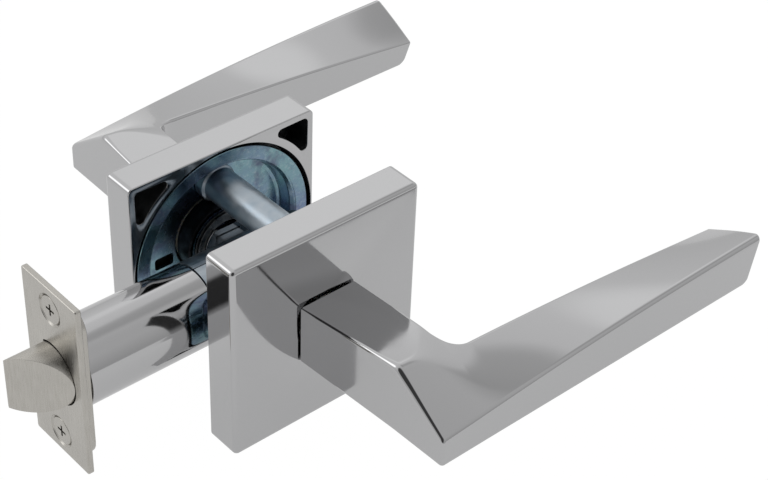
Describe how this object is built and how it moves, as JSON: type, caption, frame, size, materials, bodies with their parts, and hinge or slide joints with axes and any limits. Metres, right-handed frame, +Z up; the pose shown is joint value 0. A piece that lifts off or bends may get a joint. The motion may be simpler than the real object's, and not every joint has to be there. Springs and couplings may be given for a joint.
{
  "type": "door lever handle",
  "caption": "Passage lever handle set for a door: twisted levers on square roses, joined by a square spindle, with a sprung tubular latch.",
  "frame": {"origin": "where the spindle axis crosses the latch axis, half way through the door", "axes": "+X from the latch bolt towards the free ends of the levers, +Y along the spindle away from the front lever, +Z up"},
  "size_m": [0.1989, 0.1712, 0.065],
  "materials": {
    "polished_chrome": "mirror polished chrome plate on cast zinc",
    "satin_nickel": "satin nickel plate, fine brushed",
    "blue_zinc": "blue passivated zinc plate on pressed steel",
    "bright_zinc": "bright zinc plate",
    "spring_steel": "oiled spring steel",
    "black_steel": "black phosphated steel",
    "nylon": "moulded nylon"
  },
  "bodies": {
    "root": {"front_rose": "polished_chrome", "front_bush": "nylon", "front_cup": "blue_zinc", "front_spring_cage": "black_steel", "front_return_spring": "spring_steel", "rear_rose": "polished_chrome", "rear_bush": "nylon", "rear_cup": "blue_zinc", "rear_spring_cage": "black_steel", "rear_return_spring": "spring_steel", "upper_post": "bright_zinc", "lower_post": "bright_zinc", "upper_through_bolt": "bright_zinc", "lower_through_bolt": "bright_zinc", "front_rose_screw": "spring_steel", "latch_tube": "polished_chrome", "latch_case_front": "bright_zinc", "latch_case_rear": "bright_zinc", "face_plate": "satin_nickel", "back_plate": "satin_nickel", "upper_plate_screw": "satin_nickel", "lower_plate_screw": "satin_nickel", "retractor_spring": "spring_steel"},
    "front_lever": {"front_lever": "polished_chrome", "front_lever_screw": "spring_steel", "front_cam_plate": "blue_zinc", "front_washer": "spring_steel", "front_snap_ring": "spring_steel"},
    "rear_lever": {"rear_lever": "polished_chrome", "rear_lever_screw": "spring_steel", "rear_cam_plate": "blue_zinc", "rear_washer": "spring_steel", "rear_snap_ring": "spring_steel"},
    "spindle": {"spindle": "bright_zinc"},
    "latch_hub": {"latch_hub": "blue_zinc"},
    "retractor": {"retractor": "blue_zinc", "bolt_spring": "spring_steel"},
    "latch_bolt": {"latch_bolt": "satin_nickel"}
  },
  "joints": [
    {"name": "front_lever_turn", "type": "hinge", "parent": "root", "child": "front_lever", "pos_m": [0, -0.0287, 0], "axis": [0, 1, 0], "range_deg": [0, 60], "stiffness_Nm_per_rad": 1, "springref_deg": -34.38, "deforming": ["front_return_spring"]},
    {"name": "rear_lever_turn", "type": "hinge", "parent": "root", "child": "rear_lever", "pos_m": [0, 0.0287, 0], "axis": [0, 1, 0], "range_deg": [0, 60], "stiffness_Nm_per_rad": 1, "springref_deg": -34.38, "deforming": ["rear_return_spring"]},
    {"name": "spindle_turn", "type": "hinge", "parent": "root", "child": "spindle", "pos_m": [0, 0, 0], "axis": [0, 1, 0], "range_deg": [0, 60]},
    {"name": "latch_hub_turn", "type": "hinge", "parent": "root", "child": "latch_hub", "pos_m": [0, 0, 0], "axis": [0, 1, 0], "range_deg": [0, 60]},
    {"name": "retractor_slide", "type": "slide", "parent": "root", "child": "retractor", "axis": [1, 0, 0], "range_m": [0, 0.012], "stiffness_N_per_m": 200, "springref_m": -0.01, "deforming": ["retractor_spring"]},
    {"name": "latch_bolt_push", "type": "slide", "parent": "retractor", "child": "latch_bolt", "axis": [1, 0, 0], "range_m": [0, 0.012], "stiffness_N_per_m": 300, "springref_m": -0.01, "deforming": ["bolt_spring"]}
  ],
  "couplings": [
    {"joint": "rear_lever_turn", "follows": "front_lever_turn", "ratio": 1},
    {"joint": "spindle_turn", "follows": "front_lever_turn", "ratio": 1},
    {"joint": "latch_hub_turn", "follows": "front_lever_turn", "ratio": 1},
    {"joint": "retractor_slide", "follows": "front_lever_turn", "m_per_rad": 0.01145}
  ]
}
